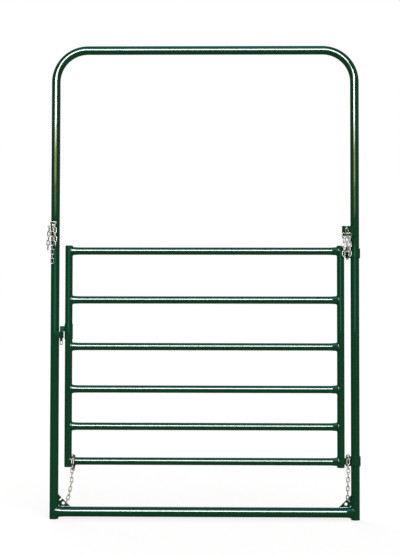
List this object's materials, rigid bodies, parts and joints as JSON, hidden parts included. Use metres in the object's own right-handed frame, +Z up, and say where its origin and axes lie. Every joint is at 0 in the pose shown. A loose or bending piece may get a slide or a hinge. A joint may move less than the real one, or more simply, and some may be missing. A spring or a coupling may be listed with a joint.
{
  "type": "bow gate",
  "caption": "Livestock bow gate: a tube frame with a high bow over a six-rail swinging leaf, with a drop latch and chains.",
  "frame": {"origin": "centre of the hinge post's foot face, on level ground", "axes": "+Z up, the gate in the XZ plane with the latch post towards -X, the front towards -Y"},
  "size_m": [1.6124, 0.0993, 2.438],
  "materials": {
    "green_paint": "dark green gloss powder coat on steel tube",
    "zinc": "bright zinc plate on steel chain and pins"
  },
  "bodies": {
    "frame": {"latch_post": "green_paint", "hinge_post": "green_paint", "latch_foot_cap": "green_paint", "hinge_foot_cap": "green_paint", "bow": "green_paint", "bow_spigots": "zinc", "bow_screws": "zinc", "sill": "green_paint", "latch_corner_gusset": "green_paint", "hinge_corner_gusset": "green_paint", "latch_chain_plate": "green_paint", "hinge_chain_plate": "green_paint", "upper_post_hinge": "green_paint", "lower_post_hinge": "green_paint", "upper_hinge_pin": "zinc", "lower_hinge_pin": "zinc", "latch_receiver": "green_paint", "upper_latch_chain": "zinc", "upper_hinge_chain": "zinc", "lower_hinge_chain": "zinc"},
    "leaf": {"latch_stile": "green_paint", "hinge_stile": "green_paint", "latch_stile_plugs": "green_paint", "hinge_stile_plugs": "green_paint", "leaf_rail_1": "green_paint", "leaf_rail_2": "green_paint", "leaf_rail_3": "green_paint", "leaf_rail_4": "green_paint", "leaf_rail_5": "green_paint", "leaf_rail_6": "green_paint", "upper_leaf_hinge": "green_paint", "lower_leaf_hinge": "green_paint", "lower_latch_chain": "zinc"},
    "latch": {"latch_sleeve": "green_paint", "latch_bar": "green_paint"}
  },
  "joints": [
    {"name": "leaf_swing", "type": "hinge", "parent": "frame", "child": "leaf", "pos_m": [-0.03825, 0, 0.299], "axis": [0, 0, -1], "range_deg": [0, 100]},
    {"name": "latch_lift", "type": "slide", "parent": "leaf", "child": "latch", "axis": [0, 0, 1], "range_m": [0, 0.095]}
  ]
}
